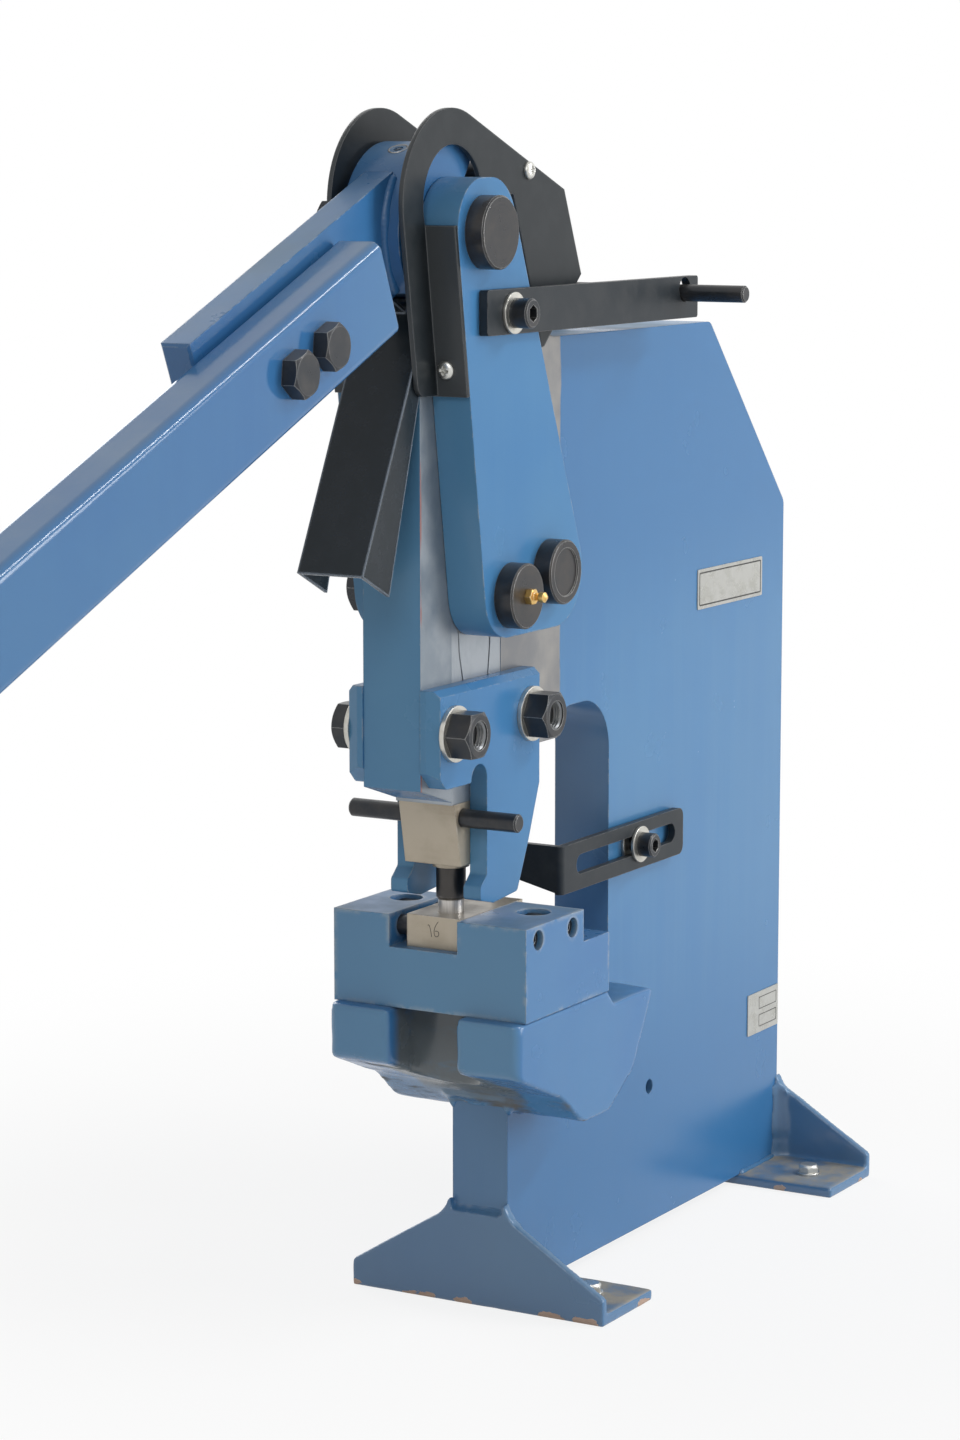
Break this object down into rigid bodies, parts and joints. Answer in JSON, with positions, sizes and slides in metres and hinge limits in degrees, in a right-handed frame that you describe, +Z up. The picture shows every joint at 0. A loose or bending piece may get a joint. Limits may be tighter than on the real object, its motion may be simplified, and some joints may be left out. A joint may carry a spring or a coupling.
{
  "type": "lever hole punch",
  "caption": "Bench lever hole punch with a throated plate frame, toothed hand lever, rocker, guided ram, punch, die, stripper plates and back gauge.",
  "frame": {"origin": "on the floor, at the centre of the four base bolt holes", "axes": "+Z up, +X to the right of an operator facing the machine, +Y from the operator to the back of the machine"},
  "size_m": [0.192, 1.413, 0.7545],
  "materials": {
    "blue_paint": "gloss",
    "black_paint": "satin",
    "black_oxide": "satin",
    "ground_steel": "satin",
    "tool_steel": "satin",
    "zinc": "bright",
    "brass": "satin",
    "black_plastic": "matte"
  },
  "bodies": {
    "frame": {"frame_plate": "blue_paint", "bed": "blue_paint", "front_foot": "blue_paint", "rear_foot": "blue_paint", "die_holder": "blue_paint", "die_holder_screws": "black_oxide", "die_set_screws": "black_oxide", "die": "tool_steel", "front_guide_block": "blue_paint", "stripper_plate_right": "blue_paint", "stripper_plate_left": "blue_paint", "clamp_bolts": "black_oxide", "clamp_nuts": "black_oxide", "clamp_washers": "zinc", "gear_sector": "ground_steel", "sector_pins": "ground_steel", "gauge_screw": "black_oxide", "gauge_washers": "zinc"},
    "rocker": {"rocker_plate_right": "blue_paint", "rocker_plate_left": "blue_paint", "fulcrum_pin": "black_oxide", "ram_pin": "black_oxide", "top_pin": "black_oxide", "pin_nuts": "black_oxide", "grease_nipple": "brass", "guard_right": "black_paint", "guard_left": "black_paint", "guard_spacer": "black_oxide", "guard_screws": "zinc", "bar_screws": "black_oxide", "bar_washers": "zinc"},
    "lever": {"lever_hub": "blue_paint", "lever_tube": "blue_paint", "lever_bolts": "black_oxide", "tube_end_cap": "black_plastic", "finger_cover": "black_paint", "cover_screws": "zinc"},
    "yoke": {"stop_bar_right": "black_oxide", "stop_bar_left": "black_oxide"},
    "stop_rod": {"stop_rod": "black_oxide"},
    "link": {"pressure_link": "ground_steel"},
    "ram": {"ram": "ground_steel", "punch_holder": "tool_steel", "cross_rod": "black_oxide", "punch": "black_oxide", "punch_collar": "tool_steel"},
    "gauge": {"back_gauge": "black_oxide"}
  },
  "joints": [
    {"name": "rocker_swing", "type": "hinge", "parent": "frame", "child": "rocker", "pos_m": [0, -0.1925, 0.473], "axis": [1, 0, 0], "range_deg": [-13, 0]},
    {"name": "hand_lever", "type": "hinge", "parent": "rocker", "child": "lever", "pos_m": [0, -0.27345, 0.68186], "axis": [1, 0, 0], "range_deg": [-70.2, 0]},
    {"name": "link_turn", "type": "hinge", "parent": "rocker", "child": "link", "pos_m": [0, -0.2405, 0.463], "axis": [1, 0, 0], "range_deg": [0, 14]},
    {"name": "yoke_swing", "type": "hinge", "parent": "rocker", "child": "yoke", "pos_m": [0, -0.2483, 0.6336], "axis": [1, 0, 0], "range_deg": [0, 6.81]},
    {"name": "stop_rod_slide", "type": "slide", "parent": "yoke", "child": "stop_rod", "axis": [1, 0, 0], "range_m": [0, 0.04]},
    {"name": "ram_slide", "type": "slide", "parent": "frame", "child": "ram", "axis": [0, 0, 1], "range_m": [0, 0.01113]},
    {"name": "gauge_slide", "type": "slide", "parent": "frame", "child": "gauge", "axis": [0, 1, 0], "range_m": [-0.038, 0.07]}
  ],
  "couplings": [
    {"joint": "rocker_swing", "follows": "hand_lever", "ratio": 0.18518},
    {"joint": "ram_slide", "follows": "hand_lever", "m_per_rad": -0.00908},
    {"joint": "link_turn", "follows": "hand_lever", "ratio": -0.1994},
    {"joint": "yoke_swing", "follows": "hand_lever", "ratio": -0.0969}
  ]
}
